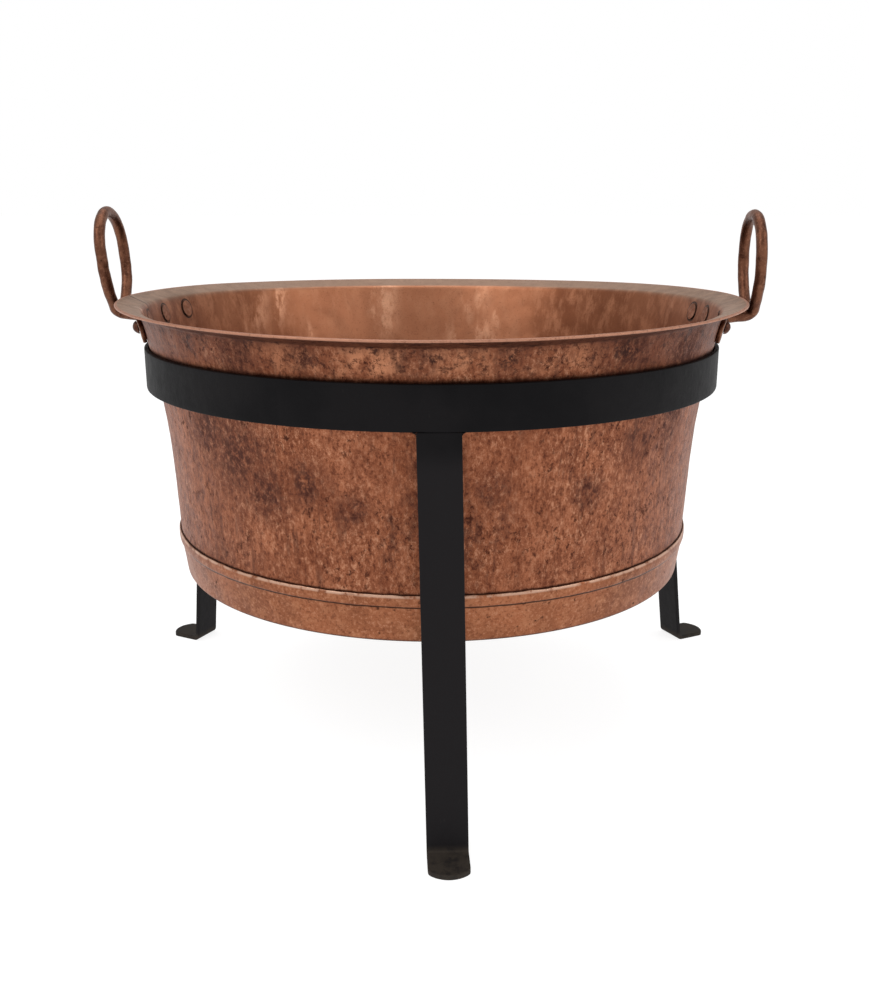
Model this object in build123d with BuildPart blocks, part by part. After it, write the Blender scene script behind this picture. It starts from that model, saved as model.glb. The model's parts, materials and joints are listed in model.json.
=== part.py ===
from build123d import *
import os
from math import cos, radians, sin, sqrt, tan

# Fire pit: a copper pan hangs by its flared wall in the hoop of a three-legged iron stand,
# and a loose fire grate stands on the pan's floor.
#
# Millimetres. +Z is up, and the origin is on the ground, on the pan's axis. The front leg
# points along -Y, and the handles are near -X (left) and +X (right).

# --- Stand -------------------------------------------------------------------------------
hoop_radius = 300.0  # outside of the hoop
bar_width = 40.0  # flat bar of the hoop
bar_thickness = 5.0  # flat bar of the hoop and the legs
hoop_bottom = 366.5
hoop_top = hoop_bottom + bar_width
hoop_edge_radius = 0.8  # worn edges of the flat bar
# The three legs are bent by hand, so each has its own azimuth, distance of the foot's bend
# from the axis, foot length, and sideways shift of its top
leg_shapes = {
    "leg_front": (-87.6, 346.3, 34.5, 5.8),
    "leg_right": (25.7, 348.2, 41.0, 0.0),
    "leg_left": (153.5, 332.6, 40.7, 0.0),
}
leg_top_width = 38.0
leg_floor_width = 36.7
foot_bend_fillet = 2.0
foot_end_radius = 24.0  # rounded end of the foot, seen from above
foot_corner_radius = 3.0
weld_size = 4.0  # side of each weld fillet between a leg and the hoop
weld_clearance = 0.02

# --- Pan ---------------------------------------------------------------------------------
wall_sheet = 2.5
base_sheet = 2.2
base_bottom = 167.8
wall_foot = 206.5  # the wall's lower edge stands on the base's joggle
cone_slope = 3.05  # degrees from upright, below the flare
flare_start = (277.8, 281.0)  # radius and height on the wall's outside
flare_radius = 809.0
flare_turn = 11.19
flange_bend_radius = 4.0
flange_rise = 17.0  # degrees above level
rim_radius = 325.0
# Outside of the base dish: floor corner, joggle, overlap on the wall's outside
base_corner = (270.2, base_bottom)
joggle_low = (274.7, 202.5)
joggle_high = (276.1, 205.5)
overlap_edge = (276.5, 214.3)
base_corner_radius = 4.5
joggle_fillet = 3.0

# --- Handles and rivets ------------------------------------------------------------------
# Each handle is bent by hand. Azimuth of its middle, lean outwards in degrees, distance of
# the rod from the axis as it passes the rim, height of the loop above the rim along the
# lean, angles of the two rivets of each palm from the middle, and angle of the palm's end
handle_shapes = {
    "left": (178.5, 4.5, 334.9, 88.9, (6.1, 16.5), 21.0),
    "right": (-2.5, -1.4, 335.5, 85.8, (5.8, 13.5), 18.0),
}
rod_radius = 6.0
loop_half_width = 38.8
rim_height = 449.0
loop_shoulder = 19.5
root_half_width = 14.0  # half the gap between the rods where they turn under the rim
root_height = 434.0
loop_top_fillet = loop_half_width - 0.1
shoulder_fillet = 62.0
root_fillet = 8.0
palm_low = 413.5
palm_high = 436.5
palm_thickness = 4.5
palm_gap = 0.15  # between the flat palm and the slightly hollow wall
palm_start = 2.6  # degrees from the handle's middle
palm_tip_radius = 10.5
palm_heel_radius = 5.0
rod_end_height = 431.0
rod_end_depth = 2.5  # the rod's end, inside the palm's thickness
rivet_height = 428.5
rivet_shank_radius = 3.95
rivet_hole_radius = 4.0
rivet_head_radius = 7.0
rivet_head_height = 5.6
rivet_tail_radius = 9.6
rivet_tail_height = 1.0
rivet_tail_gap = 0.25  # a flat tail on the hollow inside of the wall
rivet_head_gap = 0.12  # a flat-bottomed head on the round palm

# --- Fire grate --------------------------------------------------------------------------
grate_radius = 235.0
grate_stand_off = 34.0  # ash space under the ring
grate_flat = (20.0, 5.0)  # height and thickness of the ring and the cross bars
fire_bar_size = 10.0
fire_bar_pitch = 40.0
fire_bar_count = 11
cross_bar_offset = 90.0
grate_foot_size = 12.0
grate_foot_azimuths = (45.0, 135.0, 225.0, 315.0)
seat_gap = 0.1  # a flat foot inside a round ring

match_length = 0.05  # two lengths nearer than this are the same

pan_floor = base_bottom + base_sheet
ring_bottom = pan_floor + grate_stand_off
ring_top = ring_bottom + grate_flat[0]


def radial_plane(azimuth):
    """Upright plane through the axis: local x runs outwards and local y runs up."""
    a = radians(azimuth)
    return Plane(origin=(0, 0, 0), x_dir=(cos(a), sin(a), 0), z_dir=(sin(a), -cos(a), 0))


def beside(azimuth, outward, sideways, height):
    """The point at a distance outwards along an azimuth and sideways from it."""
    a = radians(azimuth)
    return (
        outward * cos(a) - sideways * sin(a),
        outward * sin(a) + sideways * cos(a),
        height,
    )


def flare_at(height):
    """Radius and slope (run over rise) of the wall's outside in its flare."""
    start = radians(cone_slope)
    sine = sin(start) + (height - flare_start[1]) / flare_radius
    cosine = sqrt(1 - sine * sine)
    radius = flare_start[0] + flare_radius * (cos(start) - cosine)
    return radius, sine / cosine


def finish(builder, name):
    """Label a piece and write it to its own file."""
    builder.part.label = name
    export_step(builder.part, f"parts/{name}.step")


os.makedirs("parts", exist_ok=True)

# Hoop: one turn of flat bar standing on edge
with BuildPart() as stand_hoop:
    with BuildSketch(Plane.XZ):
        with Locations((hoop_radius - bar_thickness / 2, (hoop_bottom + hoop_top) / 2)):
            RectangleRounded(bar_thickness, bar_width, hoop_edge_radius)
    revolve(axis=Axis.Z)
finish(stand_hoop, "stand_hoop")


def leg_planes(azimuth):
    """A leg's side plane (x outwards, y up) and its front plane (x sideways, y up)."""
    plane = radial_plane(azimuth)
    return plane, Plane(origin=(0, 0, 0), x_dir=plane.z_dir, z_dir=-plane.x_dir)


def make_leg(name):
    """Flat bar from the hoop's lower edge to a foot turned outwards on the floor."""
    azimuth, bend_distance, foot_length, top_shift = leg_shapes[name]
    side_plane, front_plane = leg_planes(azimuth)
    tip_distance = bend_distance + foot_length
    lean = (bend_distance - hoop_radius) / (hoop_bottom - bar_thickness)
    above = 10.0  # the bar is made too long, then cut level under the hoop
    with BuildPart() as leg:
        with BuildSketch(side_plane):
            with BuildLine():
                FilletPolyline(
                    (hoop_radius - above * lean, hoop_bottom + above),
                    (bend_distance, bar_thickness),
                    (tip_distance, bar_thickness),
                    radius=foot_bend_fillet,
                )
                offset(amount=bar_thickness, side=Side.RIGHT)
            make_face()
        extrude(amount=bar_width, both=True)
        with BuildSketch(front_plane):
            with BuildLine():
                Polyline(
                    (-leg_floor_width / 2, 0),
                    (leg_floor_width / 2, 0),
                    (leg_top_width / 2 + top_shift, hoop_bottom),
                    (-leg_top_width / 2 + top_shift, hoop_bottom),
                    close=True,
                )
            make_face()
        extrude(amount=-2 * hoop_radius, mode=Mode.INTERSECT)
        end_middle = side_plane.x_dir * (tip_distance - foot_end_radius)
        with BuildSketch(Plane(origin=end_middle, x_dir=side_plane.x_dir, z_dir=(0, 0, 1))):
            with Locations((foot_end_radius, 0)):
                Rectangle(foot_end_radius, 2 * bar_width)
            Circle(foot_end_radius, mode=Mode.SUBTRACT)
        extrude(amount=bar_thickness, mode=Mode.SUBTRACT)
        upright = leg.edges().filter_by(lambda e: abs(e.length - bar_thickness) < match_length)
        corners = upright.sort_by(Axis(origin=(0, 0, 0), direction=side_plane.x_dir))[-2:]
        fillet(corners, radius=foot_corner_radius)
    finish(leg, name)


for leg_name in leg_shapes:
    make_leg(leg_name)

# Weld fillets: a hollow-faced bead in each corner between a leg and the hoop
with BuildPart() as leg_welds:
    for azimuth, _, _, top_shift in leg_shapes.values():
        # a leg that leans sideways gets a little nearer to its bead lower down
        side_gap = weld_clearance + abs(top_shift) * weld_size / hoop_bottom
        side_plane, front_plane = leg_planes(azimuth)
        face_origin = side_plane.x_dir * (hoop_radius - bar_thickness + weld_clearance)
        face_plane = Plane(origin=face_origin, x_dir=front_plane.x_dir, z_dir=front_plane.z_dir)
        for side in (-1, 1):
            root = top_shift + side * (leg_top_width / 2 + side_gap)
            tip = root + side * weld_size
            top = hoop_bottom - weld_clearance
            with BuildSketch(face_plane):
                with BuildLine():
                    Polyline((root, top - weld_size), (root, top), (tip, top))
                    RadiusArc((tip, top), (root, top - weld_size), -side * weld_size)
                make_face()
            extrude(amount=2 * weld_clearance - bar_thickness)
finish(leg_welds, "leg_welds")


def rivet_plane(azimuth):
    """Plane on the wall's outside at a rivet, with its z along the rivet, outwards."""
    radius, slope = flare_at(rivet_height)
    a = radians(azimuth)
    normal = Vector(cos(a), sin(a), -slope).normalized()
    return Plane(
        origin=(radius * cos(a), radius * sin(a), rivet_height),
        x_dir=(-sin(a), cos(a), 0),
        z_dir=normal,
    )


rivet_planes = {
    side: [rivet_plane(shape[0] + way * angle) for way in (-1, 1) for angle in shape[4]]
    for side, shape in handle_shapes.items()
}

# Wall: cone, flare and out-turned flange, one sheet thick
with BuildPart() as pan_wall:
    with BuildSketch(Plane.XZ):
        with BuildLine():
            foot_drop = flare_start[1] - wall_foot
            cone_foot = (flare_start[0] - foot_drop * tan(radians(cone_slope)), wall_foot)
            cone = Line(cone_foot, flare_start)
            flare = JernArc(flare_start, cone % 1, flare_radius, -flare_turn)
            flange_turn = 90 - flange_rise - cone_slope - flare_turn
            bend = JernArc(flare @ 1, flare % 1, flange_bend_radius, -flange_turn)
            flange_length = (rim_radius - (bend @ 1).X) / cos(radians(flange_rise))
            PolarLine(bend @ 1, flange_length, flange_rise)
            offset(amount=wall_sheet, side=Side.LEFT)
        make_face()
    revolve(axis=Axis.Z)
    with Locations(*[plane.location for planes in rivet_planes.values() for plane in planes]):
        Cylinder(rivet_hole_radius, 4 * wall_sheet, mode=Mode.SUBTRACT)
finish(pan_wall, "pan_wall")

# Base dish: floor, upstand and the joggled edge that overlaps the wall
with BuildPart() as pan_base:
    with BuildSketch(Plane.XZ):
        with BuildLine():
            FilletPolyline(
                (0, base_bottom),
                base_corner,
                joggle_low,
                joggle_high,
                overlap_edge,
                radius=[base_corner_radius, joggle_fillet, joggle_fillet],
            )
            offset(amount=base_sheet, side=Side.LEFT)
        make_face()
    revolve(axis=Axis.Z)
finish(pan_base, "pan_base")


def make_handle(side):
    """Rod loop that passes outside the rim and ends in two palms riveted to the wall."""
    azimuth, lean_angle, handle_offset, loop_top, _, palm_end = handle_shapes[side]
    lean = radians(lean_angle)

    def on_loop(sideways, along):
        outward = handle_offset + along * sin(lean)
        return beside(azimuth, outward, sideways, rim_height + along * cos(lean))

    low_radius = flare_at(palm_low)[0] + palm_gap
    high_radius = flare_at(palm_high)[0] + palm_gap
    rod_end_radius = flare_at(rod_end_height)[0] + palm_gap + rod_end_depth
    with BuildPart() as handle:
        for start in (palm_start, -palm_end):
            with BuildSketch(radial_plane(azimuth + start)):
                with BuildLine():
                    Line((low_radius, palm_low), (high_radius, palm_high))
                    offset(amount=palm_thickness, side=Side.RIGHT)
                make_face()
            revolve(axis=Axis.Z, revolution_arc=palm_end - palm_start)
        short = handle.edges().filter_by(lambda e: abs(e.length - palm_thickness) < match_length)
        sideways_axis = Axis(origin=(0, 0, 0), direction=beside(azimuth, 0, 1, 0))
        ordered = short.sort_by(sideways_axis)
        fillet(ordered[:2] + ordered[-2:], radius=palm_tip_radius)
        short = handle.edges().filter_by(lambda e: abs(e.length - palm_thickness) < match_length)
        ordered = short.sort_by(lambda e: abs(e.center().dot(sideways_axis.direction)))
        fillet(ordered[:4], radius=palm_heel_radius)
        with BuildLine() as rod_path:
            FilletPolyline(
                beside(azimuth, rod_end_radius, root_half_width + 2, rod_end_height),
                beside(azimuth, handle_offset, root_half_width, root_height),
                on_loop(loop_half_width, loop_shoulder),
                on_loop(loop_half_width, loop_top),
                on_loop(-loop_half_width, loop_top),
                on_loop(-loop_half_width, loop_shoulder),
                beside(azimuth, handle_offset, -root_half_width, root_height),
                beside(azimuth, rod_end_radius, -root_half_width - 2, rod_end_height),
                radius=[
                    root_fillet,
                    shoulder_fillet,
                    loop_top_fillet,
                    loop_top_fillet,
                    shoulder_fillet,
                    root_fillet,
                ],
            )
        with BuildSketch(Plane(rod_path.line @ 0, z_dir=rod_path.line % 0)):
            Circle(rod_radius)
        sweep(path=rod_path.line)
        with Locations(*[plane.location for plane in rivet_planes[side]]):
            Cylinder(rivet_hole_radius, 4 * palm_thickness, mode=Mode.SUBTRACT)
    finish(handle, f"handle_{side}")


for side in handle_shapes:
    make_handle(side)

# One rivet, standing on the wall's outside, with its tail inside and its head on the palm
with BuildPart() as rivet:
    tail_top = -wall_sheet - rivet_tail_gap
    head_bottom = palm_gap + palm_thickness + rivet_head_gap
    head_top = head_bottom + rivet_head_height
    with BuildSketch(Plane.XZ):
        with BuildLine():
            Polyline(
                (0, head_top),
                (0, tail_top - rivet_tail_height),
                (rivet_tail_radius, tail_top - rivet_tail_height),
                (rivet_tail_radius, tail_top),
                (rivet_shank_radius, tail_top),
                (rivet_shank_radius, head_bottom),
                (rivet_head_radius, head_bottom),
            )
            dome_radius = (rivet_head_radius**2 + rivet_head_height**2) / (2 * rivet_head_height)
            RadiusArc((rivet_head_radius, head_bottom), (0, head_top), -dome_radius)
        make_face()
    revolve(axis=Axis.Z)


def make_rivets(side):
    """The four rivets of one handle."""
    with BuildPart() as rivets:
        with Locations(*[plane.location for plane in rivet_planes[side]]):
            add(rivet.part)
    finish(rivets, f"rivets_{side}")


for side in handle_shapes:
    make_rivets(side)

# Grate ring: flat bar on edge
with BuildPart() as grate_ring:
    with BuildSketch(Plane.XY.offset(ring_bottom)):
        Circle(grate_radius)
        Circle(grate_radius - grate_flat[1], mode=Mode.SUBTRACT)
    extrude(amount=grate_flat[0])
finish(grate_ring, "grate_ring")

# Fire bars: parallel square bars on top of the ring, cut to its outside
for index in range(fire_bar_count):
    across = (index - (fire_bar_count - 1) / 2) * fire_bar_pitch
    reach = sqrt(grate_radius**2 - (abs(across) + fire_bar_size / 2) ** 2)
    with BuildPart() as fire_bar:
        with BuildSketch(Plane.XY.offset(ring_top)):
            with Locations((0, across)):
                Rectangle(2 * reach, fire_bar_size)
        extrude(amount=fire_bar_size)
        chamfer(fire_bar.edges().filter_by(Axis.X), length=0.8)
    finish(fire_bar, f"grate_bar_{index + 1}")

# Cross bars: flat bars under the fire bars, butted inside the ring
inner_radius = grate_radius - grate_flat[1]
for index, offset_x in enumerate((-cross_bar_offset, cross_bar_offset)):
    reach = sqrt(inner_radius**2 - (abs(offset_x) + grate_flat[1] / 2) ** 2) - seat_gap
    with BuildPart() as cross_bar:
        with BuildSketch(Plane.XY.offset(ring_bottom)):
            with Locations((offset_x, 0)):
                Rectangle(grate_flat[1], 2 * reach)
        extrude(amount=grate_flat[0])
    finish(cross_bar, f"grate_cross_bar_{index + 1}")

# Feet: square bar inside the ring, down to the pan's floor
for index, azimuth in enumerate(grate_foot_azimuths):
    foot_centre = inner_radius - seat_gap - grate_foot_size / 2
    a = radians(azimuth)
    foot_plane = Plane(
        origin=(foot_centre * cos(a), foot_centre * sin(a), pan_floor),
        x_dir=(cos(a), sin(a), 0),
        z_dir=(0, 0, 1),
    )
    with BuildPart() as grate_foot:
        with BuildSketch(foot_plane):
            Rectangle(grate_foot_size, grate_foot_size)
        extrude(amount=grate_stand_off + grate_flat[0])
    finish(grate_foot, f"grate_foot_{index + 1}")
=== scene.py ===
import json
import math

import bpy
import numpy as np
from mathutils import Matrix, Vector, noise

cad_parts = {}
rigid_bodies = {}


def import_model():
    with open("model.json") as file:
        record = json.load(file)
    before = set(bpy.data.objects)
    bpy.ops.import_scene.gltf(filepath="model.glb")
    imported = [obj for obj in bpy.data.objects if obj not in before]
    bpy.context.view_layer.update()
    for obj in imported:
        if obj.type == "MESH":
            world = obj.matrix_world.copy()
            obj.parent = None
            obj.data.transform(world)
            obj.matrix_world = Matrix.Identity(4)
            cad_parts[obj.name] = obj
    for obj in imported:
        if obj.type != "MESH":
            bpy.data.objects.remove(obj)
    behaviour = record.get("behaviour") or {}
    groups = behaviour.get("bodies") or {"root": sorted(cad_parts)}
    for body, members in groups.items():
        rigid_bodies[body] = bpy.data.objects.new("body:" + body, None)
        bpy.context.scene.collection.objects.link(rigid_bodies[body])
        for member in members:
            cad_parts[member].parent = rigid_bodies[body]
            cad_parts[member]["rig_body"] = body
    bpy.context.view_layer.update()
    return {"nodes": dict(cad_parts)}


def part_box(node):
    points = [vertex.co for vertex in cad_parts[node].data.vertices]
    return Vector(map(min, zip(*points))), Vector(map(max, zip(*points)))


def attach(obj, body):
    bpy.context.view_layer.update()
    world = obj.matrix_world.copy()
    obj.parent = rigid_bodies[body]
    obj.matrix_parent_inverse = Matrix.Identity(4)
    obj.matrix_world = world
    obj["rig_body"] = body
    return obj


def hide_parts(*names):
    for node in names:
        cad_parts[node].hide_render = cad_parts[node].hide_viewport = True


# Fire pit: looks of the copper pan, its iron stand and the loose fire grate, in metres.
# Every piece stands where its CAD node stands, and follows that node's body.

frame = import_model()
nodes = frame["nodes"]

# --- Sizes, as in the CAD model ------------------------------------------------------------
wall_low, wall_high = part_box("pan_wall")
base_low, base_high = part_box("pan_base")
hoop_low, hoop_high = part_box("stand_hoop")
ring_low, ring_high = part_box("grate_ring")

WALL_FOOT = wall_low.z
RIM_RADIUS = wall_high.x
WALL_SHEET = 0.0025
CONE_SLOPE = math.radians(3.05)
FLARE_START = (0.2778, 0.281)  # radius and height on the wall's outside
FLARE_RADIUS = 0.809
FLARE_TURN = math.radians(11.19)
FLANGE_RISE = math.radians(17.0)
FLANGE_BEND = 0.004
RIM_SADDLE = 0.0032  # the rim stands higher at the handles than at the front and back
DENTS_BOTTOM = 0.216  # the wall has hammer dents above this height
TAIL_REACH = 0.3005  # the rivets' tails are nearer the axis than this, and their heads further
# Lap seam of the wall's sheet, on the left: azimuth at the rim, how far and over what width of
# the flange it slants inside, then its place across the pan inside and outside
SEAM_AZIMUTH = math.radians(179.0)
SEAM_SLANT, SEAM_SLANT_WIDTH = math.radians(6.2), 0.0376
SEAM_INSIDE, SEAM_OUTSIDE = -0.026, 0.005
LAP_INSIDE, LAP_OUTSIDE = 0.0009, 0.0007  # depth of the step at the seam

BASE_SHEET = 0.0022
BASE_BOTTOM = base_low.z
OVERLAP_TOP = base_high.z
JOGGLE_LOW = 0.2025
BASE_CORNER, BASE_FILLET = 0.2702, 0.0045  # radius of the floor's edge, and its rounding
# Radius and height up the outside of the base's edge: the joggle, then the overlap
BASE_EDGE = [(0.2747, JOGGLE_LOW), (0.2752, 0.2034), (0.2762, 0.2044), (0.2766, 0.2055),
             (0.2769, 0.2090), (0.2768, 0.2125), (0.2765, OVERLAP_TOP - 0.0004)]

HOOP_RADIUS = hoop_high.x
BAR = 0.005  # thickness of the stand's flat bar
HOOP_BOTTOM, HOOP_TOP = hoop_low.z, hoop_high.z
LEG_TOP_WIDTH, LEG_FLOOR_WIDTH = 0.0380, 0.0367
FOOT_BEND_FILLET = 0.002
FOOT_END_RADIUS = 0.024
# azimuth in degrees, distance of the foot's bend, foot length, sideways shift of the top
LEGS = {
    "leg_front": (-87.6, 0.3463, 0.0345, 0.0058),
    "leg_right": (25.7, 0.3482, 0.0410, 0.0),
    "leg_left": (153.5, 0.3326, 0.0407, 0.0),
}

GRATE_RADIUS = ring_high.x
GRATE_FLAT = 0.005
FIRE_BAR_COUNT = 11

CAMERA_PLACE = (0.0029, -1.1728, 0.5539)
CAMERA_DIP = math.radians(15.642)  # below level
CAMERA_LENS = 39.12


# --- Mesh helpers --------------------------------------------------------------------------
def volume_of(points, quads):
    """Signed volume of a closed mesh: negative when its faces look inwards."""
    total = 0.0
    for a, b, c in ((0, 1, 2), (0, 2, 3)):
        first, second, third = points[quads[:, a]], points[quads[:, b]], points[quads[:, c]]
        total += np.einsum("ij,ij->", first, np.cross(second, third)) / 6
    return total


def new_object(name, points, faces, sharp=math.radians(50)):
    """A mesh object, shaded smooth except along edges that turn more than the sharp angle."""
    points, faces = np.asarray(points), np.asarray(faces)
    if volume_of(points, faces) < 0:
        faces = faces[:, ::-1]
    mesh = bpy.data.meshes.new(name)
    mesh.from_pydata(points.tolist(), [], faces.tolist())
    mesh.polygons.foreach_set("use_smooth", [True] * len(mesh.polygons))
    mesh.set_sharp_from_angle(angle=sharp)
    mesh.update()
    piece = bpy.data.objects.new(name, mesh)
    bpy.context.scene.collection.objects.link(piece)
    return piece


def grid_faces(rows, columns, start=0, wrap_rows=False, wrap_columns=False, flip=False):
    """Quads over a grid of rows x columns points numbered row by row."""
    last_row = rows if wrap_rows else rows - 1
    last_column = columns if wrap_columns else columns - 1
    i, j = np.meshgrid(np.arange(last_row), np.arange(last_column), indexing="ij")
    a, b = i * columns + j, i * columns + (j + 1) % columns
    c, d = (i + 1) % rows * columns + (j + 1) % columns, (i + 1) % rows * columns + j
    quads = np.stack([a, d, c, b] if flip else [a, b, c, d], axis=-1)
    return quads.reshape(-1, 4) + start


def ripple(points, size, seed=0.0, stretch=(1, 1, 1)):
    """Smooth noise from about -1 to 1 at each point, with features of this size."""
    places = np.asarray(points).reshape(-1, 3) * np.asarray(stretch) / size + seed
    values = [noise.noise(Vector(p)) for p in places]
    return np.array(values).reshape(np.asarray(points).shape[:-1])


def stations(length, edge, spacing):
    """Places along a length, close together at both ends, where an edge is rounded."""
    count = max(2, round((length - 2 * edge) / spacing) + 1)
    middle = np.linspace(edge, length - edge, count)
    near = edge * np.array([0.0, 0.06, 0.25, 0.58])
    return np.concatenate([near, middle, (length - near)[::-1]])


def slab(name, along, half_width, thickness, edge, place, spacing=0.004, wave=0.0, seed=0.0,
         closed=False, end=None):
    """A bar of rectangular section with worn, rounded edges.

    along: places along the bar; half_width(s): half its width there; place(s, w, t): where a
    point along, across and through the bar stands; end(s, w): how far a point is inside the
    bar's ends; wave: how uneven the faces are; closed: the bar is a ring.
    """
    widest = 2 * max(half_width(s) for s in along)
    across = stations(widest, edge, spacing) / widest * 2 - 1
    s = np.repeat(np.asarray(along)[:, None], len(across), axis=1)
    half = np.array([half_width(v) for v in along])[:, None]
    w = half * across[None, :]
    # the rounded strip keeps its width where the bar is narrower
    inside = half - np.abs(w)
    if end is not None:
        inside = np.minimum(inside, end(s, w))
    elif not closed:
        inside = np.minimum(inside, np.minimum(s - along[0], along[-1] - s))
    reach = np.clip(inside, 0, edge)
    drop = edge - np.sqrt(np.maximum(edge**2 - (edge - reach) ** 2, 0))
    height = thickness / 2 - drop
    rows, columns = s.shape
    top = np.array([place(*v) for v in zip(s.ravel(), w.ravel(), height.ravel())])
    bottom = np.array([place(*v) for v in zip(s.ravel(), w.ravel(), -height.ravel())])
    if wave:
        for side, points in ((1, top), (-1, bottom)):
            inward = (bottom - top) if side == 1 else (top - bottom)
            inward = inward / np.linalg.norm(inward, axis=1)[:, None]
            uneven = 0.5 + 0.35 * ripple(points, 0.022, seed + side) + 0.15 * ripple(
                points, 0.007, seed + 5 * side)
            points += inward * (wave * np.clip(uneven, 0, 1))[:, None]
    count = rows * columns
    faces = [
        grid_faces(rows, columns, 0, wrap_rows=closed),
        grid_faces(rows, columns, count, wrap_rows=closed, flip=True),
    ]
    index = np.arange(count).reshape(rows, columns)
    if closed:
        loops = [index[:, 0], index[::-1, -1]]
    else:
        loops = [np.concatenate([index[:, 0], index[-1, 1:], index[-2::-1, -1],
                                 index[0, -2:0:-1]])]
    for loop in loops:
        after = np.roll(loop, -1)
        faces.append(np.stack([loop, after, after + count, loop + count], axis=-1))
    return new_object(name, np.concatenate([top, bottom]), np.concatenate(faces))


def forged_copy(name, node, voxel, rounds, dent, dent_size):
    """A copy of a CAD node remeshed evenly, with its joins run together and its skin dented."""
    source = bpy.data.objects.new(name + "_source", nodes[node].data.copy())
    bpy.context.scene.collection.objects.link(source)
    remesh = source.modifiers.new("even", "REMESH")
    remesh.mode = "VOXEL"
    remesh.voxel_size = voxel
    smooth = source.modifiers.new("worn", "SMOOTH")
    smooth.factor = 0.5
    smooth.iterations = rounds
    graph = bpy.context.evaluated_depsgraph_get()
    mesh = bpy.data.meshes.new_from_object(source.evaluated_get(graph))
    bpy.data.objects.remove(source)
    points = np.empty(len(mesh.vertices) * 3)
    normals = np.empty(len(mesh.vertices) * 3)
    mesh.vertices.foreach_get("co", points)
    mesh.vertices.foreach_get("normal", normals)
    points, normals = points.reshape(-1, 3), normals.reshape(-1, 3)
    depth = dent * np.clip(0.5 + ripple(points, dent_size, 3.0), 0, 1)
    mesh.vertices.foreach_set("co", (points - normals * depth[:, None]).ravel())
    mesh.polygons.foreach_set("use_smooth", [True] * len(mesh.polygons))
    mesh.materials.clear()
    mesh.update()
    piece = bpy.data.objects.new(name, mesh)
    bpy.context.scene.collection.objects.link(piece)
    return piece


def settle(piece, node, material):
    """The piece stands for a CAD node, rides on its body and has one material."""
    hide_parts(node)
    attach(piece, nodes[node]["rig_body"])
    if material is not None:
        piece.data.materials.append(material)
    return piece


# --- Material helpers ----------------------------------------------------------------------
class Paint:
    """A Principled material whose patterns read the piece's own coordinates in metres."""

    def __init__(self, name, **constants):
        self.material = bpy.data.materials.new(name)
        self.material.use_nodes = True
        self.tree = self.material.node_tree
        self.shader = self.tree.nodes["Principled BSDF"]
        for socket, value in constants.items():
            self.shader.inputs[socket.replace("_", " ")].default_value = value
        self.place = self.tree.nodes.new("ShaderNodeTexCoord").outputs["Object"]
        self.x, self.y, self.z = self.node("SeparateXYZ", {0: self.place}).outputs

    def node(self, kind, inputs, **settings):
        made = self.tree.nodes.new("ShaderNode" + kind)
        for name, value in settings.items():
            setattr(made, name, value)
        for key, value in inputs.items():
            if isinstance(value, bpy.types.NodeSocket):
                self.tree.links.new(value, made.inputs[key])
            else:
                made.inputs[key].default_value = value
        return made

    def math(self, operation, a, b=0.0, c=0.0):
        return self.node("Math", {0: a, 1: b, 2: c}, operation=operation).outputs[0]

    def noise(self, size, stretch=(1, 1, 1), detail=3.0, roughness=0.55, shift=0.0):
        """Noise from 0 to 1 with features about this size in metres."""
        place = self.node(
            "Mapping", {"Vector": self.place, "Location": (shift,) * 3, "Scale": stretch}
        ).outputs[0]
        return self.node("TexNoise", {
            "Vector": place, "Scale": 1 / size, "Detail": detail, "Roughness": roughness,
        }).outputs[0]

    def hammer_marks(self, size):
        """Rounded cells of about this size in metres, like the marks of a hammer's face."""
        made = self.node("TexVoronoi", {"Vector": self.place, "Scale": 1 / size},
                         feature="SMOOTH_F1")
        return made.outputs[0]

    def from_axis(self):
        """Distance from the pan's axis."""
        squares = [self.math("MULTIPLY", side, side) for side in (self.x, self.y)]
        return self.math("SQRT", self.math("ADD", *squares))

    def share(self, pattern, amount):
        """A pattern weakened to at most this amount."""
        return self.math("MULTIPLY", pattern, amount)

    def off(self, value, target):
        """How far a value is from a target, either way."""
        return self.math("ABSOLUTE", self.math("SUBTRACT", value, target))

    def band(self, value, low, high):
        """0 below low, 1 above high, smooth between them; the other way round if high < low."""
        low_out, high_out = (0.0, 1.0) if low < high else (1.0, 0.0)
        return self.node("MapRange", {
            0: value, 1: min(low, high), 2: max(low, high), 3: low_out, 4: high_out,
        }, interpolation_type="SMOOTHSTEP").outputs[0]

    def blend(self, share, a, b):
        """Colour a where share is 0 and b where it is 1."""
        made = self.tree.nodes.new("ShaderNodeMix")
        made.data_type = "RGBA"
        for key, value in ((0, share), (6, a), (7, b)):
            if isinstance(value, bpy.types.NodeSocket):
                self.tree.links.new(value, made.inputs[key])
            elif key == 0:
                made.inputs[key].default_value = value
            else:
                made.inputs[key].default_value = (*value, 1.0)
        return made.outputs[2]

    def near(self, point, radius, softness):
        """1 within a radius of a point, and 0 from radius + softness on."""
        made = self.node("VectorMath", {0: self.place, 1: point}, operation="DISTANCE")
        return self.band(made.outputs["Value"], radius + softness, radius)

    def most(self, values):
        found = values[0]
        for value in values[1:]:
            found = self.math("MAXIMUM", found, value)
        return found

    def tail_shade_rings(self, distance, half_width):
        """1 on a ring at this distance from the middle of each rivet's tail, where painted shade
        goes.
        """
        rings = []
        for tail in TAILS:
            gap = self.node("VectorMath", {0: self.place, 1: tail}, operation="DISTANCE")
            off = self.off(gap.outputs["Value"], distance)
            rings.append(self.band(off, half_width, 0.35 * half_width))
        return self.most(rings)

    def bump(self, height, depth, normal=None):
        """Bump of this depth in metres, laid over an earlier one."""
        inputs = {"Height": height, "Strength": 1.0, "Distance": depth}
        if normal is not None:
            inputs["Normal"] = normal
        return self.node("Bump", inputs).outputs[0]

    def use(self, colour, roughness, normal):
        for socket, value in (("Base Color", colour), ("Roughness", roughness),
                              ("Normal", normal)):
            self.tree.links.new(value, self.shader.inputs[socket])
        return self.material


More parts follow.
